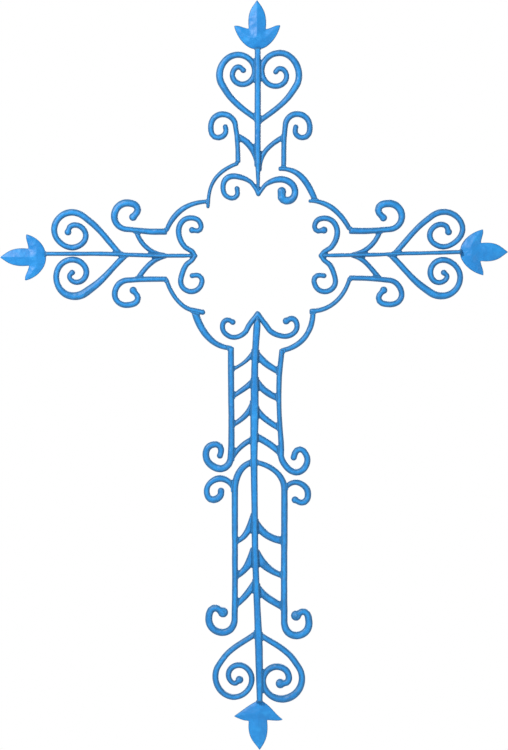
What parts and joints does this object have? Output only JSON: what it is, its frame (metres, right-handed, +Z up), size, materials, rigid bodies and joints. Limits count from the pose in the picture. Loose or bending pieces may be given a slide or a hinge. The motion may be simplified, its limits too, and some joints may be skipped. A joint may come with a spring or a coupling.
{
  "type": "wrought iron cross",
  "caption": "Openwork wrought iron memorial cross of bent and forged bars: heart scrolls, curled rails, curved rungs and leaf tips round an open centre, painted blue",
  "frame": {"origin": "On the back of the head's stem, 24 mm below the foot of the upper heart, where a forked hook or saddle clip takes the cross", "axes": "+Z up the cross towards the head's leaf, +X to the right as seen from the front, +Y out of the back towards the wall or post that the cross is fixed to"},
  "size_m": [0.813, 0.014, 1.2],
  "materials": {
    "blue_paint": "satin"
  },
  "bodies": {
    "root": {"top_stem": "blue_paint", "left_stem": "blue_paint", "right_stem": "blue_paint", "upright": "blue_paint", "top_leaf": "blue_paint", "left_leaf": "blue_paint", "right_leaf": "blue_paint", "foot_leaf": "blue_paint", "top_inner_curls": "blue_paint", "left_inner_curls": "blue_paint", "right_inner_curls": "blue_paint", "foot_inner_curls": "blue_paint", "top_heart_left": "blue_paint", "top_heart_right": "blue_paint", "left_heart_upper": "blue_paint", "left_heart_lower": "blue_paint", "right_heart_upper": "blue_paint", "right_heart_lower": "blue_paint", "foot_heart_left": "blue_paint", "foot_heart_right": "blue_paint", "top_rail_left": "blue_paint", "top_rail_right": "blue_paint", "left_rail_upper": "blue_paint", "left_rail_lower": "blue_paint", "right_rail_upper": "blue_paint", "right_rail_lower": "blue_paint", "shaft_rail_left": "blue_paint", "shaft_rail_right": "blue_paint", "side_bar_left": "blue_paint", "side_bar_right": "blue_paint", "crook_left": "blue_paint", "crook_right": "blue_paint", "ring_head_left": "blue_paint", "ring_head_right": "blue_paint", "ring_left_upper": "blue_paint", "ring_left_lower": "blue_paint", "ring_right_upper": "blue_paint", "ring_right_lower": "blue_paint", "ring_foot_left": "blue_paint", "ring_foot_right": "blue_paint", "top_bracket_left": "blue_paint", "top_bracket_right": "blue_paint", "left_bracket_upper": "blue_paint", "left_bracket_lower": "blue_paint", "right_bracket_upper": "blue_paint", "right_bracket_lower": "blue_paint", "rung_1_left": "blue_paint", "rung_1_right": "blue_paint", "rung_2_left": "blue_paint", "rung_2_right": "blue_paint", "rung_3_left": "blue_paint", "rung_3_right": "blue_paint", "rung_4_left": "blue_paint", "rung_4_right": "blue_paint", "rung_5_left": "blue_paint", "rung_5_right": "blue_paint", "rung_6_left": "blue_paint", "rung_6_right": "blue_paint", "rung_7_left": "blue_paint", "rung_7_right": "blue_paint"}
  },
  "joints": []
}
